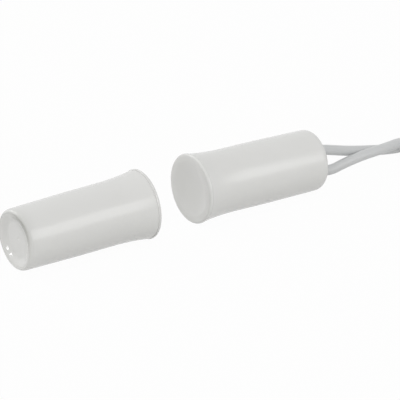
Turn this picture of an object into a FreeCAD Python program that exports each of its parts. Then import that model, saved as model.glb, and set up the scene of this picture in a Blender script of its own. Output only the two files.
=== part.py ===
"""Recessed magnetic contact: a reed switch and a bar magnet, each potted in a flanged plastic plug.

The pair lies on a table as a new set does, the two flange faces turned to each other. Each half
rests on its flange's edge and on its back rim, so its axis falls a little towards the back. The
switch half points its back to +X, the magnet half to -X. The row's origin is on the table, under
the middle of the two housings. All sizes are in millimetres, and angles in degrees.

Each half is drawn in a frame of its own: x runs along the axis from the flange face to the back,
and z points up.
"""

import FreeCAD, Part
import math
import os

import Sketcher

Vector = FreeCAD.Vector
Placement = FreeCAD.Placement
Rotation = FreeCAD.Rotation

SIZES = {
    # The moulding, which both halves share
    "housing_length": 22.0,
    "shank_radius": 4.75,
    "back_radius": 4.63,
    "land_end": 12.5,
    "flange_radius": 5.27,
    "flange_lip": 0.5,
    "lip_step": 0.14,
    "flare_length": 6.0,
    "lip_round": 0.1,
    "back_round": 0.6,
    "face_rim": 0.6,
    "face_dish": 0.22,
    "face_wall": 1.2,
    "rim_wall": 0.95,
    "bore_draft": 0.16,
    "mouth_round": 0.2,
    # The resin poured in from the back
    "recess_depth": 0.15,
    "meniscus_depth": 0.6,
    # The magnet
    "magnet_radius": 3.0,
    "magnet_length": 15.0,
    "magnet_chamfer": 0.3,
    # The reed switch
    "reed_front": 3.4,
    "glass_length": 12.7,
    "glass_radius": 0.9,
    "glass_wall": 0.22,
    "glass_round": 0.45,
    "glass_seal": 1.5,
    "reed_lead_radius": 0.25,
    "lead_offset": 0.9,
    "lead_stub": 0.2,
    "blade_width": 0.9,
    "blade_thickness": 0.2,
    "blade_overlap": 1.0,
    "blade_gap": 0.08,
    "blade_root": 0.4,
    # What joins the reed to the leads
    "sleeve_radius": 0.42,
    "sleeve_clearance": 0.02,
    "sleeve_gap": 0.3,
    "joint_gap": 0.5,
    "joint_length": 1.7,
    "joint_radius": 0.95,
    "joint_bulge": 0.2,
    "joint_tail": 0.25,
    # The two leads
    "wire_radius": 0.775,
    "core_radius": 0.38,
    "wire_offset": 1.6,
    "strip_length": 0.7,
    "exit_clear": 0.1,
    "bare_length": 6.0,
    # How the pair lies
    "face_gap": 8.67,
    "magnet_shift": 0.456,
    "magnet_yaw": 2.45,
    # The tied hank that the rest of the leads is put away in
    "hank_x": 68.87,
    "hank_y": -1.68,
    "hank_reach": 15.0,
    "hank_fold": 4.8,
    "lane_pitch": 1.6,
    "waist_half": 2.0,
    "tie_thickness": 0.4,
    "tie_width": 3.0,
    "tie_tail": 7.0,
    "upper_end": 3.0,
    "lower_end": 5.0,
}

# Where the leads run between the straight stretch at the exit and the hank, in the row's frame
UPPER_ROUTE = [
    (30.46, 0.89, 4.93),
    (34.20, 1.79, 3.54),
    (38.17, 2.37, 2.44),
    (42.13, 2.69, 1.51),
    (45.77, 3.33, 0.78),
    (49.14, 4.95, 0.78),
]
LOWER_ROUTE = [
    (29.51, -0.06, 2.05),
    (32.69, 0.28, 2.51),
    (36.51, 0.48, 2.86),
    (40.60, 1.03, 2.66),
    (44.70, 1.90, 2.50),
    (48.57, 2.72, 0.86),
]
HANK_LAYERS = 3


class Size:
    """A number that also carries the sheet's formula for it."""

    def __init__(self, value, formula):
        self.value = float(value)
        self.formula = formula

    def __add__(self, other):
        other = as_size(other)
        return Size(self.value + other.value, f"({self.formula} + {other.formula})")

    def __sub__(self, other):
        other = as_size(other)
        return Size(self.value - other.value, f"({self.formula} - {other.formula})")

    def __mul__(self, other):
        other = as_size(other)
        return Size(self.value * other.value, f"({self.formula} * {other.formula})")

    def __truediv__(self, other):
        other = as_size(other)
        return Size(self.value / other.value, f"({self.formula} / {other.formula})")

    def __neg__(self):
        return Size(-self.value, f"(0 - {self.formula})")


def as_size(number):
    return number if isinstance(number, Size) else Size(number, f"{float(number):.6f}")


ZERO = as_size(0)


class Sheet:
    """The driving sizes as cells of a spreadsheet, read back by their names."""

    def __init__(self, doc):
        self.cells = doc.addObject("Spreadsheet::Sheet", "Sizes")
        for row, (name, number) in enumerate(SIZES.items(), start=1):
            self.cells.set(f"A{row}", name)
            self.cells.set(f"B{row}", f"{number}")
            self.cells.setAlias(f"B{row}", name)
        doc.recompute()

    def __getattr__(self, name):
        return Size(self.cells.get(name), f"Sizes.{name}")


def bind(thing, target, size):
    thing.setExpression(target, size.formula)


def new_body(doc, label):
    body = doc.addObject("PartDesign::Body", label)
    body.Label = label
    return body


def new_sketch(body, name, role, lift=None):
    """A sketch on one of the body's own origin planes, lifted along the plane's normal."""
    sketch = body.newObject("Sketcher::SketchObject", name)
    plane = next(item for item in body.Origin.OriginFeatures if item.Role == role)
    sketch.AttachmentSupport = [(plane, "")]
    sketch.MapMode = "FlatFace"
    if lift is not None:
        sketch.AttachmentOffset = Placement(Vector(0, 0, lift.value), Rotation())
        bind(sketch, "AttachmentOffset.Base.z", lift)
    return sketch


def hold_point(sketch, edge, end, corner, name):
    """Ties one end of an edge to its named place in the sheet."""
    for value, kind, axis, tag in (
        (corner[0], "DistanceX", -2, f"{name}_x"),
        (corner[1], "DistanceY", -1, f"{name}_y"),
    ):
        if value is ZERO:
            sketch.addConstraint(Sketcher.Constraint("PointOnObject", edge, end, axis))
            continue
        index = sketch.addConstraint(Sketcher.Constraint(kind, -1, 1, edge, end, value.value))
        sketch.renameConstraint(index, tag)
        bind(sketch, f"Constraints.{tag}", value)


def arc_between(start, end, radius, side):
    """The arc's middle point. It bulges to the left of the way from start to end where side is 1."""
    chord = end - start
    half = chord.Length / 2
    rise = radius - math.sqrt(max(radius * radius - half * half, 0.0))
    left = Vector(-chord.y, chord.x, 0).normalize()
    return (start + end) / 2 + left * rise * side


def draw_outline(sketch, corners, arcs=None):
    """Joins the corners in a closed outline. arcs gives an edge's radius and the side it bulges to."""
    arcs = arcs or {}
    places = [Vector(x.value, y.value, 0) for x, y in corners]
    ends = []
    for number, start in enumerate(places):
        end = places[(number + 1) % len(places)]
        if number not in arcs:
            edge = sketch.addGeometry(Part.LineSegment(start, end), False)
            ends.append((edge, 1, 2))
            continue
        radius, side = arcs[number]
        middle = arc_between(start, end, radius.value, side)
        turns_left = side < 0
        if turns_left:
            edge = sketch.addGeometry(Part.Arc(start, middle, end), False)
        else:
            edge = sketch.addGeometry(Part.Arc(end, middle, start), False)
        ends.append((edge, 1, 2) if turns_left else (edge, 2, 1))
    for number, (edge, first, last) in enumerate(ends):
        following, next_first, _ = ends[(number + 1) % len(ends)]
        sketch.addConstraint(Sketcher.Constraint("Coincident", edge, last, following, next_first))
    for number, (edge, first, _) in enumerate(ends):
        hold_point(sketch, edge, first, corners[number], f"corner{number}")
    for number, (radius, _) in arcs.items():
        index = sketch.addConstraint(Sketcher.Constraint("Radius", ends[number][0], radius.value))
        sketch.renameConstraint(index, f"arc{number}")
        bind(sketch, f"Constraints.arc{number}", radius)


def draw_circle(sketch, radius, name, height=ZERO):
    circle = Part.Circle(Vector(0, height.value, 0), Vector(0, 0, 1), radius.value)
    edge = sketch.addGeometry(circle, False)
    hold_point(sketch, edge, 3, (ZERO, height), name)
    index = sketch.addConstraint(Sketcher.Constraint("Radius", edge, radius.value))
    sketch.renameConstraint(index, f"{name}_radius")
    bind(sketch, f"Constraints.{name}_radius", radius)


def turned(body, name, sketch, kind="PartDesign::Revolution"):
    """A full turn of a sketch about its own horizontal axis."""
    feature = body.newObject(kind, name)
    feature.Profile = sketch
    feature.ReferenceAxis = (sketch, ["H_Axis"])
    feature.Angle = 360
    body.Document.recompute()
    return feature


def padded(body, name, sketch, length):
    feature = body.newObject("PartDesign::Pad", name)
    feature.Profile = sketch
    feature.Length = length.value
    bind(feature, "Length", length)
    body.Document.recompute()
    return feature


def rim_edges(shape, x, radius):
    """The names of the round edges at that place along the axis with that radius."""
    names = []
    for number, edge in enumerate(shape.Edges, start=1):
        if edge.Degenerated or not isinstance(edge.Curve, Part.Circle):
            continue
        if abs(edge.Curve.Center.x - x.value) < 1e-4 and abs(edge.Curve.Radius - radius.value) < 1e-4:
            names.append(f"Edge{number}")
    return names


def dress_edges(body, name, kind, target, size, rims):
    """A fillet or chamfer on round edges, each given by its place along the axis and its radius."""
    base = body.Tip
    feature = body.newObject(kind, name)
    edges = [edge for x, radius in rims for edge in rim_edges(base.Shape, x, radius)]
    feature.Base = (base, edges)
    setattr(feature, target, size.value)
    bind(feature, target, size)
    body.Document.recompute()
    return feature


def dome_radius(half_width, rise):
    """The radius of an arc over a half width, with its centre on the axis."""
    return (half_width * half_width + rise * rise) / (rise * 2)


def joint_start(sizes):
    """Where the solder beads begin, a little behind the glass."""
    return sizes.reed_front + sizes.glass_length + sizes.joint_gap


def wire_start(sizes):
    """Where the leads' insulation begins, behind the beads and the stripped strands."""
    return joint_start(sizes) + sizes.joint_length + sizes.strip_length


def bore_radius(sizes, x):
    """The drafted bore's radius at a distance from the flange face."""
    mouth = sizes.back_radius - sizes.rim_wall
    depth = sizes.housing_length - sizes.face_wall
    return mouth - sizes.bore_draft * (sizes.housing_length - x) / depth


def make_housing(doc, sizes, label):
    """The flanged plug: dished face, thin lip, trumpet flare, sizing land, drafted shank, blind bore."""
    body = new_body(doc, label)
    rim = sizes.flange_radius - sizes.face_rim
    flare_top = sizes.flange_radius - sizes.lip_step
    outline = new_sketch(body, f"{label}_outline", "XZ_Plane")
    corners = [
        (sizes.face_dish, ZERO),
        (ZERO, rim),
        (ZERO, sizes.flange_radius),
        (sizes.flange_lip, sizes.flange_radius),
        (sizes.flange_lip, flare_top),
        (sizes.flange_lip + sizes.flare_length, sizes.shank_radius),
        (sizes.land_end, sizes.shank_radius),
        (sizes.housing_length, sizes.back_radius),
        (sizes.housing_length, ZERO),
    ]
    arcs = {
        0: (dome_radius(rim, sizes.face_dish), -1),
        4: (dome_radius(sizes.flare_length, flare_top - sizes.shank_radius), -1),
    }
    draw_outline(outline, corners, arcs)
    turned(body, f"{label}_moulding", outline)
    whole = body.Shape.Volume

    bore = new_sketch(body, f"{label}_bore_outline", "XZ_Plane")
    mouth = bore_radius(sizes, sizes.housing_length)
    bore_corners = [
        (sizes.face_wall, ZERO),
        (sizes.face_wall, mouth - sizes.bore_draft),
        (sizes.housing_length, mouth),
        (sizes.housing_length, ZERO),
    ]
    draw_outline(bore, bore_corners)
    turned(body, f"{label}_bore", bore, "PartDesign::Groove")
    if body.Shape.Volume > 0.9 * whole:
        raise ValueError(f"{label}: its bore cuts nothing")

    fillet = "PartDesign::Fillet"
    lip_rims = [(ZERO, sizes.flange_radius), (sizes.flange_lip, sizes.flange_radius)]
    dress_edges(body, f"{label}_lip", fillet, "Radius", sizes.lip_round, lip_rims)
    back_rims = [(sizes.housing_length, sizes.back_radius)]
    dress_edges(body, f"{label}_back", fillet, "Radius", sizes.back_round, back_rims)
    mouth_rims = [(sizes.housing_length, mouth)]
    dress_edges(body, f"{label}_mouth", fillet, "Radius", sizes.mouth_round, mouth_rims)
    return body


def make_filling(doc, sizes, label):
    """The resin that fills the bore, with a hollow surface a little inside the mouth."""
    body = new_body(doc, label)
    edge = sizes.housing_length - sizes.recess_depth
    floor = bore_radius(sizes, sizes.face_wall)
    brim = bore_radius(sizes, edge)
    outline = new_sketch(body, f"{label}_outline", "XZ_Plane")
    corners = [
        (sizes.face_wall, ZERO),
        (sizes.face_wall, floor),
        (edge, brim),
        (edge - sizes.meniscus_depth, ZERO),
    ]
    draw_outline(outline, corners, {2: (dome_radius(brim, sizes.meniscus_depth), 1)})
    turned(body, f"{label}_pour", outline)
    return body


def make_magnet(doc, sizes):
    """The rod magnet, which stands on the bore's floor."""
    body = new_body(doc, "bar_magnet")
    circle = new_sketch(body, "magnet_circle", "YZ_Plane", sizes.face_wall)
    draw_circle(circle, sizes.magnet_radius, "rod")
    padded(body, "magnet_rod", circle, sizes.magnet_length)
    far = sizes.face_wall + sizes.magnet_length
    rims = [(sizes.face_wall, sizes.magnet_radius), (far, sizes.magnet_radius)]
    dress_edges(body, "magnet_ends", "PartDesign::Chamfer", "Size", sizes.magnet_chamfer, rims)
    return body


def make_glass(doc, sizes, label, hollow=True):
    """The reed's glass tube, drawn from its own front end, melted shut round both leads."""
    body = new_body(doc, label)
    outline = new_sketch(body, f"{label}_outline", "XZ_Plane")
    length = sizes.glass_length
    outer = sizes.glass_radius
    corners = [
        (ZERO, ZERO),
        (ZERO, outer - sizes.glass_round),
        (sizes.glass_round, outer),
        (length - sizes.glass_round, outer),
        (length, outer - sizes.glass_round),
        (length, ZERO),
    ]
    draw_outline(outline, corners, {1: (sizes.glass_round, 1), 3: (sizes.glass_round, 1)})
    turned(body, f"{label}_tube", outline)
    if not hollow:
        return body
    bore = new_sketch(body, f"{label}_bore_outline", "XZ_Plane")
    inner = outer - sizes.glass_wall
    lead = sizes.reed_lead_radius
    taper = sizes.glass_seal + (inner - lead)
    bore_corners = [
        (ZERO, ZERO),
        (ZERO, lead),
        (sizes.glass_seal, lead),
        (taper, inner),
        (length - taper, inner),
        (length - sizes.glass_seal, lead),
        (length, lead),
        (length, ZERO),
    ]
    draw_outline(bore, bore_corners)
    turned(body, f"{label}_bore", bore, "PartDesign::Groove")
    return body


def draw_blade(body, name, sizes, root, tip, low):
    """The flattened part of a reed: a thin strip between root and tip, on a plane at height low."""
    strip = new_sketch(body, name, "XY_Plane", low)
    half = sizes.blade_width / 2
    draw_outline(strip, [(root, -half), (tip, -half), (tip, half), (root, half)])
    padded(body, f"{name}_pad", strip, sizes.blade_thickness)


def make_rear_blade(doc, sizes):
    """The rear reed: a straight round lead that flattens to the upper blade."""
    body = new_body(doc, "reed_blade_rear")
    root = sizes.glass_length - sizes.glass_seal
    tail = joint_start(sizes) + sizes.joint_length + sizes.joint_tail - sizes.reed_front
    start = root - sizes.blade_root * 2
    circle = new_sketch(body, "rear_lead_circle", "YZ_Plane", start)
    draw_circle(circle, sizes.reed_lead_radius, "lead")
    padded(body, "rear_lead", circle, tail - start)
    tip = (sizes.glass_length - sizes.blade_overlap) / 2
    draw_blade(body, "rear_blade", sizes, tip, root - sizes.blade_root, sizes.blade_gap / 2)
    return body


def make_front_blade(doc, sizes):
    """The front reed: the lower blade, whose lead folds back under the glass to the rear."""
    body = new_body(doc, "reed_blade_front")
    root = sizes.glass_seal + sizes.blade_root * 2
    fold = sizes.lead_offset * 2
    tail = joint_start(sizes) + sizes.joint_length + sizes.joint_tail - sizes.reed_front
    spine = new_sketch(body, "front_lead_path", "XZ_Plane")
    starts = [
        (root, ZERO),
        (-sizes.lead_stub, ZERO),
        (-sizes.lead_stub, -fold),
        (tail, -fold),
    ]
    places = [Vector(x.value, y.value, 0) for x, y in starts]
    spine.addGeometry(Part.LineSegment(places[0], places[1]), False)
    far_left = Vector(-sizes.lead_stub.value - sizes.lead_offset.value, -sizes.lead_offset.value, 0)
    spine.addGeometry(Part.Arc(places[1], far_left, places[2]), False)
    spine.addGeometry(Part.LineSegment(places[2], places[3]), False)
    spine.addConstraint(Sketcher.Constraint("Tangent", 0, 2, 1, 1))
    spine.addConstraint(Sketcher.Constraint("Coincident", 1, 2, 2, 1))
    hold_point(spine, 0, 1, starts[0], "root")
    hold_point(spine, 0, 2, starts[1], "bend")
    hold_point(spine, 2, 1, starts[2], "return")
    hold_point(spine, 2, 2, starts[3], "tail")
    circle = new_sketch(body, "front_lead_circle", "YZ_Plane", root)
    draw_circle(circle, sizes.reed_lead_radius, "lead")
    doc.recompute()
    pipe = body.newObject("PartDesign::AdditivePipe", "front_lead")
    pipe.Profile = circle
    pipe.Spine = (spine, ["Edge1", "Edge2", "Edge3"])
    doc.recompute()
    tip = (sizes.glass_length + sizes.blade_overlap) / 2
    low = -(sizes.blade_gap / 2) - sizes.blade_thickness
    draw_blade(body, "front_blade", sizes, root - sizes.blade_root, tip, low)
    return body


def make_sleeve(doc, sizes, label, hollow=True):
    """The insulating sleeve on the lead that runs back under the glass."""
    body = new_body(doc, label)
    start = sizes.reed_front + sizes.sleeve_gap
    ring = new_sketch(body, f"{label}_ring", "YZ_Plane", start)
    draw_circle(ring, sizes.sleeve_radius, "outside")
    if hollow:
        draw_circle(ring, sizes.reed_lead_radius + sizes.sleeve_clearance, "inside")
    padded(body, f"{label}_tube", ring, joint_start(sizes) - sizes.sleeve_gap - start)
    return body


def make_solder(doc, sizes, name):
    """A bead of solder, a small barrel round the reed's lead and the wire's strands."""
    body = new_body(doc, name)
    outline = new_sketch(body, f"{name}_outline", "XZ_Plane")
    start = joint_start(sizes)
    end = start + sizes.joint_length
    brim = sizes.joint_radius - sizes.joint_bulge
    corners = [(start, ZERO), (start, brim), (end, brim), (end, ZERO)]
    bulge = dome_radius((end - start) / 2, sizes.joint_bulge)
    draw_outline(outline, corners, {1: (bulge, 1)})
    turned(body, f"{name}_bead", outline)
    return body


def make_core(doc, sizes, label, length):
    """A length of stripped and tinned strands, drawn along its own z."""
    core = doc.addObject("Part::Cylinder", label)
    core.Label = label
    core.Radius = sizes.core_radius.value
    core.Height = length.value
    bind(core, "Radius", sizes.core_radius)
    bind(core, "Height", length)
    return core


def cut_out(doc, label, base, tools):
    """The base without the room that each tool takes, one cut after the other."""
    doc.recompute()
    for number, tool in enumerate(tools, start=1):
        cut = doc.addObject("Part::Cut", f"{label}_cut{number}")
        cut.Base = base
        cut.Tool = tool
        base = cut
        doc.recompute()
    base.Label = label
    return base


def rest_pose(sizes):
    """How far a half's axis falls towards the back, and its height at the flange face."""
    lip = sizes.lip_round.value
    back = sizes.back_round.value
    draft = (sizes.shank_radius - sizes.back_radius) / (sizes.housing_length - sizes.land_end)
    lip_x = sizes.flange_lip.value - lip
    lip_y = sizes.flange_radius.value - lip
    back_x = sizes.housing_length.value - back
    back_y = sizes.back_radius.value + back * (draft.value - math.hypot(1, draft.value))
    run = back_x - lip_x
    drop = lip_y - back_y
    tilt = math.asin((lip - back) / math.hypot(run, drop)) + math.atan2(drop, run)
    height = lip_x * math.sin(tilt) + lip_y * math.cos(tilt) + lip
    return math.degrees(tilt), height


def place_halves(sizes, housing):
    """The two halves' placements, with the middle of the pair over the origin."""
    tilt, height = rest_pose(sizes)
    lean = Rotation(Vector(0, 1, 0), tilt)
    turn = Rotation(Vector(0, 0, 1), 180 - sizes.magnet_yaw.value)
    switch = Placement(Vector(0, 0, height), lean)
    magnet_at = Vector(-sizes.face_gap.value, -sizes.magnet_shift.value, height)
    magnet = Placement(magnet_at, turn.multiply(lean))
    box = FreeCAD.BoundBox()
    for place in (switch, magnet):
        box.add(housing.Shape.copy().transformGeometry(place.toMatrix()).optimalBoundingBox(False))
    centre = Placement(Vector(-box.Center.x, -box.Center.y, 0), Rotation())
    return centre.multiply(switch), centre.multiply(magnet)


def put(thing, half, offset=None, rotation=None):
    """Places a piece by its place in the half's own frame."""
    thing.Placement = half.multiply(Placement(offset or Vector(), rotation or Rotation()))


def tube_path(points, name):
    """Straight runs joined by tangent arcs, each as large as its two runs allow."""
    places = [Vector(*point) for point in points]
    edges = []
    radii = []
    reached = places[0]
    for before, corner, after in zip(places, places[1:], places[2:]):
        into = (corner - before).normalize()
        out = (after - corner).normalize()
        shorter = min((corner - before).Length, (after - corner).Length)
        turn = into.getAngle(out)
        cut = 0.45 * shorter
        start = corner - into * cut
        end = corner + out * cut
        radius = cut / math.tan(turn / 2)
        middle_way = (out - into).normalize()
        middle = corner + middle_way * (math.hypot(radius, cut) - radius)
        edges.append(Part.LineSegment(reached, start).toShape())
        edges.append(Part.Arc(start, middle, end).toShape())
        radii.append(round(radius, 1))
        reached = end
    edges.append(Part.LineSegment(reached, places[-1]).toShape())
    print(f"{name}: bend radii {radii}")
    return Part.Wire(edges)


def make_wire(doc, sizes, name, points):
    """An insulated lead from its place in the resin to the hank."""
    path = tube_path(points, name)
    heading = (Vector(*points[1]) - Vector(*points[0])).normalize()
    ring = Part.Circle(Vector(*points[0]), heading, sizes.wire_radius.value)
    profile = Part.Wire([ring.toShape()])
    tube = path.makePipeShell([profile], True, True)
    expected = math.pi * sizes.wire_radius.value**2 * path.Length
    print(f"{name}: {path.Length:.1f} mm of tube, volume is {tube.Volume / expected:.4f} of its section's")
    wire = doc.addObject("Part::Feature", name)
    wire.Label = name
    wire.Shape = tube
    return wire


def lane_angle(sizes, radius, half_width):
    """How far a lane's side slants from its waist corner to the fold's arc, in radians."""
    reach = sizes.hank_reach.value - sizes.waist_half.value
    span = math.hypot(reach, half_width)
    return math.asin(radius / span) - math.atan2(half_width, reach)


def lane_sizes(sizes, lane):
    """The radius of a lane's fold and its half width at the waist. Lane 0 is the inner one."""
    step = sizes.lane_pitch.value * lane
    return sizes.hank_fold.value + step, sizes.lane_pitch.value / 2 + step


def side_length(sizes, lane):
    """How long a lane runs straight between its waist corner and its fold."""
    radius, half_width = lane_sizes(sizes, lane)
    reach = sizes.hank_reach.value - sizes.waist_half.value
    return math.sqrt(reach * reach + half_width * half_width - radius * radius)


def hank_outline(sizes, radius, half_width):
    """A face like a dog's bone: two round folds joined through a narrow waist."""
    slant = lane_angle(sizes, radius, half_width)
    reach = sizes.hank_reach.value
    waist = sizes.waist_half.value
    across = radius * math.sin(slant)
    up = radius * math.cos(slant)
    right = [Vector(reach - across, -up, 0), Vector(reach + radius, 0, 0), Vector(reach - across, up, 0)]
    left = [Vector(-p.x, -p.y, 0) for p in right]
    top = [right[2], Vector(waist, half_width, 0), Vector(-waist, half_width, 0), left[0]]
    bottom = [Vector(-p.x, -p.y, 0) for p in top]
    edges = [Part.Arc(*right).toShape(), Part.Arc(*left).toShape()]
    for side in (top, bottom):
        edges += [Part.LineSegment(a, b).toShape() for a, b in zip(side, side[1:])]
    return Part.Face(Part.Wire(Part.__sortEdges__(edges)))


def hank_eyes(sizes, height):
    """The two eyes inside the folds, each a drop that narrows to the waist."""
    radius = sizes.hank_fold.value - sizes.wire_radius.value
    reach = sizes.hank_reach.value
    narrow = sizes.waist_half.value + sizes.wire_radius.value / 3
    slant = math.asin(radius / (reach - narrow))
    touch = Vector(reach - radius * math.sin(slant), radius * math.cos(slant), 0)
    mirrored = Vector(touch.x, -touch.y, 0)
    corner = Vector(narrow, 0, 0)
    edges = [
        Part.Arc(mirrored, Vector(reach + radius, 0, 0), touch).toShape(),
        Part.LineSegment(touch, corner).toShape(),
        Part.LineSegment(corner, mirrored).toShape(),
    ]
    drop = Part.Face(Part.Wire(Part.__sortEdges__(edges))).extrude(Vector(0, 0, height))
    other = drop.copy()
    other.rotate(Vector(), Vector(0, 0, 1), 180)
    return [drop, other]


def hank_entry(sizes, lane):
    """Where a lead lies down in its lane of the hank, and the way it runs there."""
    radius, half_width = lane_sizes(sizes, lane)
    slant = lane_angle(sizes, radius, half_width)
    x = sizes.hank_x.value - sizes.hank_reach.value + radius * math.sin(slant)
    y = sizes.hank_y.value + radius * math.cos(slant)
    return Vector(x, y, sizes.wire_radius.value), Vector(math.cos(slant), -math.sin(slant), 0)


def near_side_place(sizes, lane, past_waist, distance):
    """A place on a lane's top layer on the hank's near side, and the way the lead runs there."""
    radius, half_width = lane_sizes(sizes, lane)
    slant = lane_angle(sizes, radius, half_width)
    height = sizes.wire_radius.value * (2 * HANK_LAYERS - 1)
    middle = Vector(sizes.hank_x.value, sizes.hank_y.value, height)
    if past_waist:
        start = Vector(-sizes.waist_half.value, -half_width, 0)
        way = Vector(-math.cos(slant), -math.sin(slant), 0)
    else:
        start = Vector(sizes.hank_reach.value - radius * math.sin(slant), -radius * math.cos(slant), 0)
        way = Vector(-math.cos(slant), math.sin(slant), 0)
    return middle + start + way * distance, way


def make_tie(doc, sizes):
    """The twist tie: a flat band round the hank's waist, with its twisted tails laid along the top."""
    thick = sizes.tie_thickness.value
    wide = sizes.tie_width.value
    half = sizes.lane_pitch.value * 1.5 + sizes.wire_radius.value
    height = sizes.wire_radius.value * 2 * HANK_LAYERS
    outside = Part.makeBox(wide, 2 * (half + thick), height + 2 * thick, Vector(-wide / 2, -half - thick, 0))
    inside = Part.makeBox(wide, 2 * half, height, Vector(-wide / 2, -half, thick))
    corners = [edge for edge in outside.Edges if abs(edge.BoundBox.XLength - wide) < 1e-6]
    band = outside.makeFillet(thick, corners).cut(inside)
    tail_low = height + 2 * thick
    tail = Part.makeCylinder(thick, sizes.tie_tail.value, Vector(0, 0, tail_low), Vector(1, 0, 0))
    tail = tail.makeFillet(thick * 0.6, [edge for edge in tail.Edges if edge.BoundBox.XLength < 1e-6])
    tie = doc.addObject("Part::Feature", "hank_tie")
    tie.Label = "hank_tie"
    tie.Shape = band.fuse(tail).removeSplitter()
    tie.Placement = Placement(Vector(sizes.hank_x.value, sizes.hank_y.value, 0), Rotation())
    return tie


def make_hank(doc, sizes, gaps, tie, wires):
    """The folded leads as one solid: three layers of two lanes a side, with room for the tie.

    Each gap is a stretch of the top layer that a lead no longer reaches.
    """
    height = sizes.wire_radius.value * 2 * HANK_LAYERS
    thick = sizes.tie_thickness.value
    half = sizes.lane_pitch.value * 1.5 + sizes.wire_radius.value
    fold = sizes.hank_fold.value + sizes.lane_pitch.value + sizes.wire_radius.value
    solid = hank_outline(sizes, fold, half).extrude(Vector(0, 0, height))
    solid = solid.makeFillet(
        sizes.wire_radius.value * 0.8,
        [edge for edge in solid.Edges if edge.BoundBox.ZLength < 1e-6],
    )
    wide = sizes.tie_width.value
    waist = Part.makeBox(wide, 2 * half, height, Vector(-wide / 2, -half, thick))
    solid = solid.fuse(waist).cut(hank_eyes(sizes, height))
    solid.translate(Vector(sizes.hank_x.value, sizes.hank_y.value, 0))
    layer = sizes.wire_radius.value * 2
    across = sizes.lane_pitch.value * 1.05
    slots = []
    for place, way, length in gaps:
        slot = Part.makeBox(length, across, layer * 2, Vector(0, -across / 2, -layer / 2))
        slot.Placement = Placement(place, Rotation(Vector(1, 0, 0), way))
        slots.append(slot)
    hank = doc.addObject("Part::Feature", "wire_hank")
    hank.Label = "wire_hank"
    hank.Shape = solid.cut(slots).cut([tie.Shape] + [wire.Shape for wire in wires]).removeSplitter()
    return hank


def lead_points(sizes, switch, side, route, lane):
    """A lead's route: out of the resin beside the axis, along its own points, into the hank."""
    z = side * sizes.wire_offset.value
    start = switch.multVec(Vector(wire_start(sizes).value, 0, z))
    out = switch.multVec(Vector((sizes.housing_length + sizes.exit_clear).value, 0, z))
    entry, way = hank_entry(sizes, lane)
    last_run = (entry - Vector(*route[-1])).Length / 2
    return [tuple(start), tuple(out)] + route + [tuple(entry - way * last_run), tuple(entry)]


def check_parts(doc, parts):
    """Stops before anything is written if a feature failed or a sub-part's shape is no good."""
    for item in doc.Objects:
        if {"Invalid", "Error"} & set(item.State):
            raise ValueError(f"{item.Name} failed: {item.State}")
    for part in parts:
        shape = part.Shape
        if shape.isNull() or not shape.isValid() or len(shape.Solids) != 1:
            raise ValueError(f"{part.Label} is not one sound solid")


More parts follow.
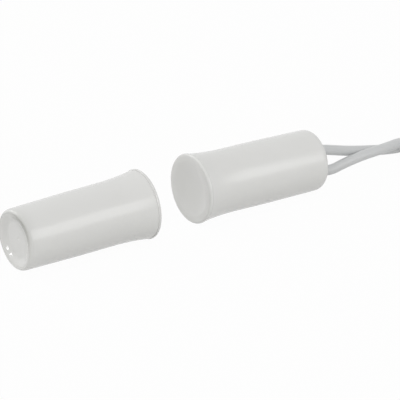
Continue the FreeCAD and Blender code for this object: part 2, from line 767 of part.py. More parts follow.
def build():
    doc = FreeCAD.newDocument("recessed_magnetic_contact")
    sizes = Sheet(doc)

    switch_housing = make_housing(doc, sizes, "switch_housing")
    magnet_housing = make_housing(doc, sizes, "magnet_housing")
    switch, magnet = place_halves(sizes, switch_housing)
    put(switch_housing, switch)
    put(magnet_housing, magnet)

    bar_magnet = make_magnet(doc, sizes)
    magnet_fill = make_filling(doc, sizes, "magnet_fill")
    put(bar_magnet, magnet)
    put(magnet_fill, magnet)
    magnet_potting = cut_out(doc, "magnet_potting", magnet_fill, [bar_magnet])

    reed_axis = Vector(sizes.reed_front.value, 0, sizes.lead_offset.value)
    glass = make_glass(doc, sizes, "reed_glass")
    glass_room = make_glass(doc, sizes, "glass_room", hollow=False)
    front_blade = make_front_blade(doc, sizes)
    rear_blade = make_rear_blade(doc, sizes)
    for piece in (glass, glass_room, front_blade, rear_blade):
        put(piece, switch, reed_axis)
    sleeve = make_sleeve(doc, sizes, "lead_sleeve")
    sleeve_room = make_sleeve(doc, sizes, "sleeve_room", hollow=False)
    for piece in (sleeve, sleeve_room):
        put(piece, switch, Vector(0, 0, -sizes.lead_offset.value))

    along = Rotation(Vector(0, 1, 0), 90)
    core_start = joint_start(sizes) + sizes.joint_tail
    core_length = wire_start(sizes) - core_start
    lead_low = sizes.lead_offset - sizes.reed_lead_radius
    core_high = sizes.wire_offset + sizes.core_radius
    bead_height = (lead_low + core_high).value / 2
    cores = {}
    joints = {}
    for side, wire, end, lead in ((1, "upper", "rear", rear_blade), (-1, "lower", "front", front_blade)):
        core = make_core(doc, sizes, f"{wire}_wire_core", core_length)
        put(core, switch, Vector(core_start.value, 0, side * sizes.wire_offset.value), along)
        bead = make_solder(doc, sizes, f"{end}_bead")
        put(bead, switch, Vector(0, 0, side * bead_height))
        cores[wire] = core
        joints[end] = cut_out(doc, f"solder_joint_{end}", bead, [lead, core])

    routes = {
        "upper": lead_points(sizes, switch, 1, UPPER_ROUTE, 1),
        "lower": lead_points(sizes, switch, -1, LOWER_ROUTE, 0),
    }
    wires = {side: make_wire(doc, sizes, f"{side}_wire", routes[side]) for side in routes}

    upper_end = sizes.upper_end.value
    lower_end = sizes.lower_end.value
    ends = {
        "upper": near_side_place(sizes, 1, False, upper_end),
        "lower": near_side_place(sizes, 0, True, lower_end),
    }
    bare_ends = []
    for side, (place, way) in ends.items():
        tip = make_core(doc, sizes, f"{side}_wire_bare_end", sizes.bare_length)
        tip.Placement = Placement(place, Rotation(Vector(0, 0, 1), way))
        bare_ends.append(tip)
    gaps = [
        (*ends["upper"], side_length(sizes, 1) - upper_end),
        (*near_side_place(sizes, 1, True, 0), side_length(sizes, 1)),
        (*ends["lower"], side_length(sizes, 0) - lower_end),
    ]
    tie = make_tie(doc, sizes)
    hank = make_hank(doc, sizes, gaps, tie, wires.values())

    fill = make_filling(doc, sizes, "switch_fill")
    put(fill, switch)
    buried = [glass_room, front_blade, rear_blade, sleeve_room]
    buried += [*joints.values(), *cores.values(), *wires.values()]
    switch_potting = cut_out(doc, "switch_potting", fill, buried)

    parts = [
        switch_housing,
        switch_potting,
        glass,
        front_blade,
        rear_blade,
        sleeve,
        *joints.values(),
        *cores.values(),
        *wires.values(),
        hank,
        tie,
        *bare_ends,
        magnet_housing,
        bar_magnet,
        magnet_potting,
    ]
    doc.recompute()
    check_parts(doc, parts)
    os.makedirs("parts", exist_ok=True)
    for part in parts:
        part.Shape.exportStep(f"parts/{part.Label}.step")
        print(f"{part.Label}: {part.Shape.Volume:.2f} cubic mm")
    land_middle = (sizes.flange_lip + sizes.flare_length + sizes.land_end) / 2
    for name, half in (("switch", switch), ("magnet", magnet)):
        middle = half.multVec(Vector(land_middle.value, 0, 0))
        axis = half.Rotation.multVec(Vector(1, 0, 0))
        print(f"{name} shank: middle {tuple(middle)}, axis {tuple(axis)}")
    for side, points in routes.items():
        print(f"{side} wire: {[tuple(round(value, 2) for value in point) for point in points]}")


build()
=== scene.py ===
# %% [markdown]
# # A recessed magnetic contact, dressed for its portrait
#
# The real thing is a pair of white plugs, each about as long as a finger joint. They are pressed into
# holes drilled in a door and its frame. One holds a reed switch with two leads, the other a magnet.
#
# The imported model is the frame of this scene: it says where each piece is, and how large. The outer
# pieces get finer meshes here, the leads become real cords, and every surface gets a material. Lengths
# are in millimetres, as on a drawing, and turn into metres where a mesh is made. The few values that
# are in metres say so.

import math

import bmesh
import bpy
from mathutils import Matrix, Vector


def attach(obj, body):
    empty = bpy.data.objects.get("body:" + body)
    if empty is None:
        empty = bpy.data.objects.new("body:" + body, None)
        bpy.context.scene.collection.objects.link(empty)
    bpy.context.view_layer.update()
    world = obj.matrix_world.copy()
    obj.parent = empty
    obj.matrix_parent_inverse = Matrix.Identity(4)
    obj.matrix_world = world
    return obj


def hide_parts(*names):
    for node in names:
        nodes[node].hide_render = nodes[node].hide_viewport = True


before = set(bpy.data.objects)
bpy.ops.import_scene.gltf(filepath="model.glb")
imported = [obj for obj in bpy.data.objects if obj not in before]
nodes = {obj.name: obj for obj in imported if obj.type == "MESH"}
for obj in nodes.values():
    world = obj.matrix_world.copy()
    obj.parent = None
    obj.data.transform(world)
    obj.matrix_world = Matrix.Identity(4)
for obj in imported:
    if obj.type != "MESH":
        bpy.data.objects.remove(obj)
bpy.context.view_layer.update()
MM = 0.001

# %% [markdown]
# ## Where the halves lie
#
# A plug with a flange doesn't lie level. It rests on the flange's edge and on the back rim, so its axis
# falls a little towards the back. The magnet half points its back the other way and lies a little askew.
#
# Each point could be worked out in the table's axes, but then the tilt is in every formula. It is
# simpler to draw a plug in a frame of its own, with x from the flange face to the back and z up, and to
# let one matrix place all of it.

# %% The halves' own frames
TILT = 1.7245
YAW = 2.45
FACE_CENTRES = {"switch": (4.3700, 0.2235, 5.2797), "magnet": (-4.3000, -0.2325, 5.2797)}


def half_matrix(half):
    """From a half's own frame, in millimetres, to the model's frame, in metres."""
    heading = 0 if half == "switch" else 180 - YAW
    lean = Matrix.Rotation(math.radians(TILT), 4, "Y")
    place = Matrix.Translation(Vector(FACE_CENTRES[half]) * MM)
    return place @ Matrix.Rotation(math.radians(heading), 4, "Z") @ lean @ Matrix.Scale(MM, 4)


SWITCH = half_matrix("switch")
MAGNET = half_matrix("magnet")
print("switch axis", tuple(round(v, 4) for v in (SWITCH.to_3x3() @ Vector((1000, 0, 0)))))

# %% [markdown]
# ## The camera
#
# The photograph was taken from the left front and a little above, from far off with a long lens, so the
# farther half is hardly smaller than the nearer one. A camera can be pushed about by hand until the
# picture fits. Here it stands on a sphere round a target, a little right of the gap between the two
# faces, so that the azimuth, the elevation, the distance and the lens are four plain numbers.

# %% The camera
AZIMUTH, ELEVATION, DISTANCE = -34.8063, 23.6991, 757.35
TARGET = Vector((6.114, 0.2235, 3.070))
LENS, SENSOR = 462.03, 36.0
NEAREST, FARTHEST = 0.05, 20  # metres


def direction(azimuth, elevation):
    """The way to something seen at that azimuth, from the front to the right, and that elevation."""
    across, up = math.radians(azimuth), math.radians(elevation)
    return Vector((math.sin(across) * math.cos(up), -math.cos(across) * math.cos(up), math.sin(up)))


back = direction(AZIMUTH, ELEVATION)
camera_data = bpy.data.cameras.new("camera")
camera_data.lens = LENS
camera_data.sensor_width = SENSOR
camera_data.clip_start = NEAREST
camera_data.clip_end = FARTHEST
camera = bpy.data.objects.new("camera", camera_data)
bpy.context.scene.collection.objects.link(camera)
camera.location = (TARGET + back * DISTANCE) * MM
camera.rotation_mode = "QUATERNION"
camera.rotation_quaternion = (-back).to_track_quat("-Z", "Y")
bpy.context.scene.camera = camera
print("camera", tuple(round(v, 4) for v in camera.location))

# %% [markdown]
# ## Drift and grain that the materials share
#
# No real surface has one colour and one gloss. Moulded plastic, resin and metal all drift a little from
# place to place, and have a grain too fine to model. The nodes for it could be copied into each
# material, but a node group is built once and takes its own values where it is placed.
#
# `Mottle` gives a broad mask, for the colour, and a fine one, for the gloss. It reads object space,
# which stays put on the piece and needs no unwrapped mesh. The scales are in lumps per metre.


# %% The Mottle group
def new_group(name, inputs, outputs):
    """An empty node group with its sockets, and its two end nodes."""
    group = bpy.data.node_groups.new(name, "ShaderNodeTree")
    for label, value in inputs:
        socket = group.interface.new_socket(label, in_out="INPUT", socket_type="NodeSocketFloat")
        socket.default_value = value
    for label, kind in outputs:
        group.interface.new_socket(label, in_out="OUTPUT", socket_type=kind)
    return group, group.nodes.new("NodeGroupInput"), group.nodes.new("NodeGroupOutput")


MOTTLE_MASKS = (("Broad", 240.0, 3.0), ("Fine", 2600.0, 5.0))

mottle, mottle_in, mottle_out = new_group(
    "Mottle", [("Size", 1.0)], [(label, "NodeSocketFloat") for label, _, _ in MOTTLE_MASKS]
)
coordinates = mottle.nodes.new("ShaderNodeTexCoord")
stretch = mottle.nodes.new("ShaderNodeVectorMath")
stretch.operation = "SCALE"
mottle.links.new(coordinates.outputs["Object"], stretch.inputs[0])
mottle.links.new(mottle_in.outputs["Size"], stretch.inputs["Scale"])
for label, scale, detail in MOTTLE_MASKS:
    noise = mottle.nodes.new("ShaderNodeTexNoise")
    noise.inputs["Scale"].default_value = scale
    noise.inputs["Detail"].default_value = detail
    mottle.links.new(stretch.outputs[0], noise.inputs["Vector"])
    mottle.links.new(noise.outputs["Fac"], mottle_out.inputs[label])
print("Mottle gives", [label for label, _, _ in MOTTLE_MASKS])

# %% [markdown]
# `Skin` turns the fine mask into a normal, for the faint unevenness that breaks up a reflection on a
# glossy plastic. Displacing the mesh would need millions of faces for that. A bump costs none, and the
# outline stays as it was modelled.

# %% The Skin group
GRAIN_HEIGHT = 0.00004  # metres

skin, skin_in, skin_out = new_group(
    "Skin", [("Size", 1.0), ("Depth", 0.05)], [("Normal", "NodeSocketVector")]
)
skin_mottle = skin.nodes.new("ShaderNodeGroup")
skin_mottle.node_tree = mottle
bump = skin.nodes.new("ShaderNodeBump")
bump.inputs["Distance"].default_value = GRAIN_HEIGHT
skin.links.new(skin_in.outputs["Size"], skin_mottle.inputs["Size"])
skin.links.new(skin_in.outputs["Depth"], bump.inputs["Strength"])
skin.links.new(skin_mottle.outputs["Fine"], bump.inputs["Height"])
skin.links.new(bump.outputs["Normal"], skin_out.inputs["Normal"])
print("groups:", sorted(group.name for group in bpy.data.node_groups))

# %% [markdown]
# ## Painted shade in a crease
#
# On the real magnet half a dark crescent lies where the resin meets the plug's mouth, on the near upper
# side. It is the shade in the crease, and here it is painted into the colour. A deeper crease in the
# mesh doesn't give it, because the near wall hides the bottom of the crease from the camera.
#
# So it is a mask, and materials mix a dark colour in with it as painted shade. It could be painted on,
# but a mask that is worked out from each point's place stays sharp at any size. The place is taken back
# into the
# magnet half's own frame, where the crescent is simple: near one radius, near one distance along the
# axis, and facing one way.

# %% Where the painted shade lies
PAINTED_SHADE_AT = 42.0  # its middle, in degrees from the top towards the near side
PAINTED_SHADE_RADIUS, PAINTED_SHADE_BACK = 3.87, 22.0  # how far it is off the axis, and behind the flange face
PAINTED_SHADE_INSIDE, PAINTED_SHADE_OUTSIDE, PAINTED_SHADE_REACH = 1.2, 0.62, 1.2  # how it fades in, out and along the axis
PAINTED_SHADE_ENDS = 3.0  # the higher this power, the shorter the crescent
print("painted shade from", PAINTED_SHADE_RADIUS - PAINTED_SHADE_INSIDE, "to", PAINTED_SHADE_RADIUS + PAINTED_SHADE_OUTSIDE, "mm off the axis")


# %% Arithmetic with nodes
def step(tree, operation, first, second=0.0):
    """One step of arithmetic in a node tree. Each input is a number or a socket."""
    node = tree.nodes.new("ShaderNodeMath")
    node.operation = operation
    for socket, value in zip(node.inputs, (first, second)):
        if isinstance(value, (int, float)):
            socket.default_value = value
        else:
            tree.links.new(value, socket)
    return node.outputs[0]


def bell(tree, value, middle, below, above):
    """1 where the value is in the middle, and down to nothing a few widths below and above it."""
    under = step(tree, "DIVIDE", step(tree, "SUBTRACT", middle, value), below)
    over = step(tree, "DIVIDE", step(tree, "SUBTRACT", value, middle), above)
    away = step(tree, "MAXIMUM", under, over)
    return step(tree, "EXPONENT", step(tree, "MULTIPLY", step(tree, "MULTIPLY", away, away), -1.0))


print("one width away the bell is down to", round(math.exp(-1), 2))

# %% The group for the painted crease shade
# Painted shade: this mask darkens the colour where the crease would lie in shadow.
crease_shade, crease_shade_in, crease_shade_out = new_group(
    "Painted crease shade", [("Amount", 1.0)], [("Mask", "NodeSocketFloat")]
)
place = crease_shade.nodes.new("ShaderNodeTexCoord")
into_half = crease_shade.nodes.new("ShaderNodeMapping")
into_half.vector_type = "TEXTURE"
into_half.inputs["Location"].default_value = Vector(FACE_CENTRES["magnet"]) * MM
into_half.inputs["Rotation"].default_value = (0, math.radians(TILT), math.radians(180 - YAW))
into_half.inputs["Scale"].default_value = (MM, MM, MM)
crease_shade.links.new(place.outputs["Object"], into_half.inputs["Vector"])
parts = crease_shade.nodes.new("ShaderNodeSeparateXYZ")
crease_shade.links.new(into_half.outputs["Vector"], parts.inputs[0])
along, across, up = parts.outputs
squares = step(
    crease_shade, "ADD", step(crease_shade, "MULTIPLY", across, across), step(crease_shade, "MULTIPLY", up, up)
)
radius = step(crease_shade, "SQRT", squares)
print("Painted crease shade turns the model's frame by", 180 - YAW, "degrees")

# %% Its mask
NEAR_AXIS = 0.1  # keeps the division below from nought

sideways = step(crease_shade, "MULTIPLY", across, math.sin(math.radians(PAINTED_SHADE_AT)))
upwards = step(crease_shade, "MULTIPLY", up, math.cos(math.radians(PAINTED_SHADE_AT)))
towards = step(crease_shade, "ADD", sideways, upwards)
facing = step(crease_shade, "DIVIDE", towards, step(crease_shade, "MAXIMUM", radius, NEAR_AXIS))
facing = step(crease_shade, "MAXIMUM", facing, 0.0)
ring = bell(crease_shade, radius, PAINTED_SHADE_RADIUS, PAINTED_SHADE_INSIDE, PAINTED_SHADE_OUTSIDE)
mask = step(crease_shade, "MULTIPLY", ring, bell(crease_shade, along, PAINTED_SHADE_BACK, PAINTED_SHADE_REACH, PAINTED_SHADE_REACH))
mask = step(crease_shade, "MULTIPLY", mask, step(crease_shade, "POWER", facing, PAINTED_SHADE_ENDS))
crease_shade.links.new(step(crease_shade, "MULTIPLY", mask, crease_shade_in.outputs["Amount"]), crease_shade_out.inputs["Mask"])
print("Painted crease shade has", len(crease_shade.nodes), "nodes")

# %% [markdown]
# ## How a material is made
#
# Each finish here is one Principled shader whose colour drifts between two near values and whose gloss
# drifts between two more. A single flat colour looks like cut paper as soon as a lamp passes over it.
#
# The shader stays in the material, and only masks and normals come out of the groups, so the same
# materials can be exported. What is the same all over, such as Metallic, is set on the shader itself.


# %% A material with drifting colour and gloss
def blend_colours(tree, factor, low, high):
    """A colour that goes from low to high with the factor."""
    mix = tree.nodes.new("ShaderNodeMix")
    mix.data_type = "RGBA"
    mix.inputs["A"].default_value = (*low, 1)
    mix.inputs["B"].default_value = (*high, 1)
    tree.links.new(factor, mix.inputs["Factor"])
    return mix.outputs["Result"]


def spread(tree, factor, low, high):
    """The factor spread between two values."""
    node = tree.nodes.new("ShaderNodeMapRange")
    node.inputs["To Min"].default_value = low
    node.inputs["To Max"].default_value = high
    tree.links.new(factor, node.inputs["Value"])
    return node.outputs["Result"]


def surface(name, low, high, gloss, size, depth, **fixed):
    """A material between two colours and two roughnesses. size and depth are the grain's."""
    material = bpy.data.materials.new(name)
    material.use_nodes = True
    tree = material.node_tree
    shader = tree.nodes["Principled BSDF"]
    patches = tree.nodes.new("ShaderNodeGroup")
    patches.node_tree = mottle
    patches.inputs["Size"].default_value = size
    grain = tree.nodes.new("ShaderNodeGroup")
    grain.node_tree = skin
    grain.inputs["Size"].default_value = size
    grain.inputs["Depth"].default_value = depth
    colour = blend_colours(tree, patches.outputs["Broad"], low, high)
    tree.links.new(colour, shader.inputs["Base Color"])
    tree.links.new(spread(tree, patches.outputs["Fine"], *gloss), shader.inputs["Roughness"])
    tree.links.new(grain.outputs["Normal"], shader.inputs["Normal"])
    for label, value in fixed.items():
        shader.inputs[label.replace("_", " ")].default_value = value
    return material


print("a surface drifts with", [group.name for group in (mottle, skin)])

# %% [markdown]
# ## The white plastics
#
# The plugs are injection moulded from a white, faintly warm plastic with a good gloss. The resin is
# poured and sets with a skin of its own, so it is smoother still and mirrors the lamps sharply. The
# leads have extruded insulation, a little greyer and cooler, with a satin finish, and the tie's strip
# is duller again. Clean white could be pure 1.0, but real white plastic sends back about four fifths
# of the light, and that leaves room for highlights.

# %% Plugs, resin, leads and tie
housing_white = surface(
    "housing_white", (0.800, 0.800, 0.785), (0.825, 0.825, 0.812), (0.16, 0.24), 1.0, 0.10
)
resin_white = surface(
    "resin_white", (0.800, 0.800, 0.785), (0.840, 0.840, 0.828), (0.05, 0.10), 0.7, 0.2
)
insulation_white = surface(
    "insulation_white", (0.650, 0.660, 0.665), (0.693, 0.704, 0.709), (0.30, 0.40), 1.4, 0.2
)
tie_white = surface("tie_white", (0.74, 0.74, 0.73), (0.80, 0.80, 0.79), (0.30, 0.42), 1.0, 0.25)
print("white:", [material.name for material in bpy.data.materials if "white" in material.name])

# %% [markdown]
# The painted shade is mixed into the two whites that meet at the crease. It could be a third material on
# a few faces, but then its edge would follow the faces. Mixed in by its mask, it fades out on both
# sides.

# %% Painted shade on the plug and the resin
# Painted shade: a dark, slightly olive colour mixed into the whites where the crease is in shadow.
PAINTED_SHADE_AMOUNT = 0.92
PAINTED_SHADE_COLOUR = (0.34, 0.345, 0.31)


def paint_crease_shade(material):
    """Mixes the crease's painted shade, a dark colour, into a material's colour."""
    tree = material.node_tree
    shader = tree.nodes["Principled BSDF"]
    unshaded = shader.inputs["Base Color"].links[0].from_socket
    patch = tree.nodes.new("ShaderNodeGroup")
    patch.node_tree = crease_shade
    patch.inputs["Amount"].default_value = PAINTED_SHADE_AMOUNT
    mix = tree.nodes.new("ShaderNodeMix")
    mix.data_type = "RGBA"
    tree.links.new(patch.outputs["Mask"], mix.inputs["Factor"])
    tree.links.new(unshaded, mix.inputs["A"])
    mix.inputs["B"].default_value = (*PAINTED_SHADE_COLOUR, 1)
    tree.links.new(mix.outputs["Result"], shader.inputs["Base Color"])


for material in (housing_white, resin_white):
    paint_crease_shade(material)
    print("painted shade on", material.name)

# %% [markdown]
# ## Metals, sleeve and glass
#
# The leads end in tinned copper strands. The rest is inside, in the resin: grey solder, reeds of a
# plated iron alloy, a dull ground magnet, a dark insulating sleeve, and the reed's tube of greenish
# glass. A plain grey would do for what nobody sees, but a part that is cut open or shown by itself
# should look right too. Metals are the same surface with Metallic at 1, and glass lets light through.

# %% What conducts, and what holds it
tinned_copper = surface(
    "tinned_copper", (0.62, 0.61, 0.58), (0.74, 0.73, 0.71), (0.22, 0.38), 1.6, 0.3, Metallic=1.0
)
solder_grey = surface(
    "solder_grey", (0.55, 0.55, 0.56), (0.68, 0.68, 0.69), (0.18, 0.32), 1.2, 0.4, Metallic=1.0
)
reed_alloy = surface(
    "reed_alloy", (0.50, 0.49, 0.46), (0.60, 0.59, 0.56), (0.20, 0.30), 1.0, 0.1, Metallic=1.0
)
magnet_grey = surface(
    "magnet_grey", (0.20, 0.20, 0.21), (0.32, 0.32, 0.33), (0.35, 0.55), 0.8, 0.5, Metallic=1.0
)
sleeve_dark = surface("sleeve_dark", (0.03, 0.03, 0.035), (0.06, 0.06, 0.065), (0.45, 0.6), 1.0, 0.5)
GLASS = {"Transmission_Weight": 1.0, "IOR": 1.5}
glass_clear = surface(
    "glass_clear", (0.80, 0.92, 0.86), (0.86, 0.95, 0.90), (0.02, 0.05), 1.0, 0.05, **GLASS
)
print(len(bpy.data.materials), "materials, the solid model's own among them")

# %% [markdown]
# ## Turned meshes
#
# A plug is round, as if it came off a lathe, so all of it is in one line: the profile from the axis out
# over the face, along the side and back in. Blender's Screw modifier can spin such a line. Here a
# short function does, with a profile that is a list of (x, r) points, because each rounding then has
# its real radius, and a worn place can be added point by point.


# %% Rounded stretches of a profile
def arc(centre, radius, start, end, steps, stretch=1.0):
    """Points of an arc in the profile's plane, angles in degrees from +x. It can be longer along x."""
    points = []
    for i in range(steps + 1):
        angle = math.radians(start + (end - start) * i / steps)
        x = centre[0] + radius * stretch * math.cos(angle)
        points.append((x, centre[1] + radius * math.sin(angle)))
    return points


print("a quarter arc in 4 steps has", len(arc((0, 0), 1, 90, 0, 4)), "points")

# %% Spinning a profile
ROUND = 192


def bridge(mesh, rings):
    """Joins each ring of vertices to the next one with faces. A ring of one vertex is a pole."""
    for a, b in zip(rings, rings[1:]):
        steps = max(len(a), len(b))
        for i in range(steps):
            j = (i + 1) % steps
            corners = [a[i % len(a)], a[j % len(a)], b[j % len(b)], b[i % len(b)]]
            mesh.faces.new(list(dict.fromkeys(corners)))


def turn(mesh, profile, to_model, settle):
    """Spins a profile about the x axis. settle gives each point its own x."""
    rings = []
    for x, r in profile:
        steps = ROUND if r else 1
        ring = []
        for i in range(steps):
            angle = 2 * math.pi * i / steps
            y, z = r * math.sin(angle), r * math.cos(angle)
            ring.append(mesh.verts.new(to_model @ Vector((settle(x, y, z), y, z))))
        rings.append(ring)
    bridge(mesh, rings)


print(ROUND, "steps round the axis")


# %% From a mesh to a piece
def finish_mesh(name, mesh, material, node):
    """Turns a bmesh into a smooth piece that rides on the frame and stands for a CAD node."""
    data = bpy.data.meshes.new(name)
    bmesh.ops.recalc_face_normals(mesh, faces=mesh.faces)
    mesh.to_mesh(data)
    mesh.free()
    data.polygons.foreach_set("use_smooth", [True] * len(data.polygons))
    data.materials.append(material)
    piece = bpy.data.objects.new(name, data)
    bpy.context.scene.collection.objects.link(piece)
    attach(piece, "root")
    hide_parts(node)
    print(name, "has", len(data.polygons), "faces")
    return piece


# %% [markdown]
# ## The plug's profile
#
# Both halves come from one mould. The profile starts in the middle of the dished face and goes over the
# rounded rim to the thin lip, which stops the plug at the mouth of its hole. Under the lip a trumpet
# flare presses itself tight, and then a straight land is as wide as the drill. The shank has a little
# draft, so that it leaves the mould, a soft back rim, and a bore that narrows towards its floor.
#
# A cylinder with bevelled edges has the same outline from afar. The dish, the lip and the flare are what
# the eye knows the thing by, so each is a stretch of its own with its own values.

# %% The plug's sizes
LENGTH = 22.0
SHANK, BACK, FLANGE = 4.75, 4.63, 5.27  # radii
RIM, DISH = 1.05, 0.6  # how wide the face's rim is, and how deep its dish
LIP, STEP = 0.5, 0.08  # how thick the lip is, and how far it stands out over the flare
FLARE, LAND_END = 6.0, 12.5  # how long the flare is, and where the straight land ends
DRAFT_STOP, DRAFT_LEFT = 3.0, 0.03  # where the draft stops before the back, and what is left of it
WALL, FLOOR_AT, BORE_DRAFT = 0.55, 1.2, 0.16
MOUTH = BACK - WALL
FACE_ROUND, LIP_ROUND, LIP_FOOT = 0.3, 0.1, 0.01
BACK_ROUND, BACK_STRETCH, MOUTH_ROUND, FLOOR_ROUND = 0.44, 1.9, 0.1, 0.05
DISH_RINGS, FLARE_RINGS = 24, 32
BORE_STATIONS = (21.7, 21.2, 19.0, 12.0, FLOOR_AT + FLOOR_ROUND)
print("plug", LENGTH, "mm long,", 2 * FLANGE, "mm over the flange, mouth", round(2 * MOUTH, 2), "mm")


# %% Dish, flare and bore
def dish_profile():
    """The face, from its middle to the start of the rounded rim."""
    inner = FLANGE - RIM
    points = []
    for i in range(DISH_RINGS + 1):
        r = inner * i / DISH_RINGS
        points.append((DISH * (1 - (r / inner) ** 2), r))
    return points


def flare_profile():
    """The trumpet from under the lip down to the land, steep first and then flatter."""
    drop = FLANGE - STEP - SHANK
    points = []
    for i in range(1, FLARE_RINGS + 1):
        u = i / FLARE_RINGS
        points.append((LIP + FLARE * u, SHANK + drop * (1 - u) ** 2))
    return points


def bore_radius(x):
    """The bore's radius, which gets smaller from the mouth to the floor."""
    return MOUTH - BORE_DRAFT * (LENGTH - x) / (LENGTH - FLOOR_AT)


print("bore", round(bore_radius(FLOOR_AT), 2), "mm in radius at its floor")


# %% The whole profile
def plug_profile():
    """From the middle of the face, round the outside, to the middle of the bore's floor."""
    profile = dish_profile()
    profile += arc((FACE_ROUND, FLANGE - FACE_ROUND), FACE_ROUND, 180, 90, 12)
    profile += arc((LIP - LIP_ROUND, FLANGE - LIP_ROUND), LIP_ROUND, 90, 0, 6)
    profile += [(LIP + LIP_FOOT / 2, FLANGE - STEP + LIP_FOOT)]
    profile += flare_profile()
    profile += [(LAND_END, SHANK), (LENGTH - DRAFT_STOP, BACK + DRAFT_LEFT)]
    rounding = (LENGTH - BACK_ROUND * BACK_STRETCH, BACK - BACK_ROUND)
    profile += arc(rounding, BACK_ROUND, 90, 0, 16, BACK_STRETCH)
    profile += arc((LENGTH - MOUTH_ROUND, MOUTH + MOUTH_ROUND), MOUTH_ROUND, 0, -90, 8)
    profile += [(x, bore_radius(x)) for x in BORE_STATIONS]
    profile += [(FLOOR_AT, bore_radius(FLOOR_AT) - FLOOR_ROUND), (FLOOR_AT, 0.0)]
    return profile


print(len(plug_profile()), "points in the profile")

# %% [markdown]
# ## The plugs
#
# The two are the same moulding, but the magnet half's back rim is worn down a little on its near upper
# side. A sculpted dent would do it by hand. Here each point of the spun profile is moved along x by a
# smooth amount that depends on where round the axis it is, so nothing else changes.

# %% Wear, and both plugs
WORN_AT, WORN_WIDTH = 48.0, 40.0  # degrees from the top towards the near side
WORN_FROM, WORN_DEPTH = 20.9, 0.22  # from there to the back the wear grows with the square


def as_moulded(x, y, z):
    """Leaves a point where the mould put it."""
    return x


def worn_rim(x, y, z):
    """The back rim's near upper side is rounded down a little."""
    away = (math.degrees(math.atan2(y, z)) - WORN_AT) / WORN_WIDTH
    return x - WORN_DEPTH * math.exp(-(away**2)) * max(x - WORN_FROM, 0.0) ** 2


def make_plug(name, to_model, node, settle):
    """One plug, placed by its half's matrix."""
    mesh = bmesh.new()
    turn(mesh, plug_profile(), to_model, settle)
    return finish_mesh(name, mesh, housing_white, node)


make_plug("switch_plug", SWITCH, "switch_housing", as_moulded)
make_plug("magnet_plug", MAGNET, "magnet_housing", worn_rim)

# %% [markdown]
# ## The resin
#
# The works are potted: resin is poured in almost up to the rim. It holds on to the wall and shrinks as
# it sets, so its surface leaves the wall level, dips in a soft S and is flat in the middle. It also
# climbs a little way up each lead, as water does up a straw.
#
# A flat disc would look like a lid. A sculpted surface would look right, but the dip is so even that a
# formula gives it exactly. So the resin is a turned shape too, and `settle` puts in the dip, the climb
# and the wear that it shares with the rim.

# %% The resin's surface
FILL_EDGE = LENGTH - 0.05
SAG, CURL = 0.6, 1.4  # how deep the dip is, and how wide its S
WIRE_RADIUS, WIRE_OFFSET = 0.775, 1.6
CLIMB_HEIGHT, CLIMB_REACH = 0.16, 0.14  # at a lead's side, and how fast it fades away from it


def resin_height(y, z, leads):
    """How far behind the flange face the resin's surface is. leads are the leads' heights."""
    inwards = (bore_radius(FILL_EDGE) - math.hypot(y, z)) / CURL
    inwards = min(max(inwards, 0.0), 1.0)
    x = FILL_EDGE - SAG * inwards**2 * (3 - 2 * inwards)
    if not leads:
        x = worn_rim(x, y, z)
    for centre in leads:
        gap = math.hypot(y, z - centre) - WIRE_RADIUS
        x += CLIMB_HEIGHT * math.exp(-max(gap, 0.0) / CLIMB_REACH)
    return x


print("resin", FILL_EDGE, "mm behind the face at the wall,", round(FILL_EDGE - SAG, 2), "in the middle")

# %% Both resins
RESIN_FOOT = 19.5  # how far the new mesh reaches into the bore
RESIN_BITE = 0.02  # how far it goes into the wall, so that no gap shows
RESIN_RINGS, RESIN_CROWD = 40, 0.9  # below 1 the rings crowd a little towards the wall


def make_resin(name, to_model, node, leads):
    """The resin as a short plug: its shaped surface, a skirt in the wall and a flat foot."""
    brim = bore_radius(FILL_EDGE) + RESIN_BITE
    profile = [(FILL_EDGE, brim * (i / RESIN_RINGS) ** RESIN_CROWD) for i in range(RESIN_RINGS + 1)]
    profile += [(RESIN_FOOT, brim), (RESIN_FOOT, 0.0)]

    def settle(x, y, z):
        return x if x == RESIN_FOOT else resin_height(y, z, leads)

    mesh = bmesh.new()
    turn(mesh, profile, to_model, settle)
    return finish_mesh(name, mesh, resin_white, node)


make_resin("switch_resin", SWITCH, "switch_potting", (-WIRE_OFFSET, WIRE_OFFSET))
make_resin("magnet_resin", MAGNET, "magnet_potting", ())

# %% [markdown]
# ## The leads, out to the hank
#
# Two limp leads, 1.55 mm thick, leave the resin one above the other and sink to the table under their
# own weight. They pass close beside each other, so from the camera they seem to cross. The points are
# those of the solid model's routes.
#
# A lead could be a bent tube of straight runs and arcs, and it would look like bent wire. As the control
# points of one smooth NURBS spline, the same few points give a soft line that never quite touches them,
# as a lead lies.

# %% The leads' routes
UPPER_ROUTE = [
    (23.41, 0.2235, 6.31),
    (26.51, 0.2235, 6.21),
    (30.46, 0.89, 4.93),
    (34.20, 1.79, 3.54),
    (38.17, 2.37, 2.44),
    (42.13, 2.69, 1.51),
    (45.77, 3.33, 0.78),
    (49.14, 4.95, 0.78),
    (52.68, 5.47, 0.78),
]
LOWER_ROUTE = [
    (23.31, 0.2235, 3.11),
    (26.41, 0.2235, 2.80),
    (29.51, -0.06, 2.05),
    (32.69, 0.28, 2.51),
    (36.51, 0.48, 2.86),
    (40.60, 1.03, 2.66),
    (44.70, 1.90, 2.50),
    (48.57, 2.72, 0.86),
    (52.13, 3.94, 0.78),
]
print("the leads start", round(UPPER_ROUTE[0][2] - LOWER_ROUTE[0][2], 2), "mm one above the other")

# %% [markdown]
# ## The hank
#
# New contacts come with their leads folded to and fro and tied round the middle, like a figure of eight
# pulled tight. Each side has two lanes, three layers high, and the lower lead takes the inner lane. A
# fold at each end and the pinched waist between them make one turn. The lead climbs to the next layer
# in the near fold.
#
# The turns could be drawn one by one. But a hank looks the same from its other end, so one side and one
# fold are worked out, and half a turn round the middle gives the others.

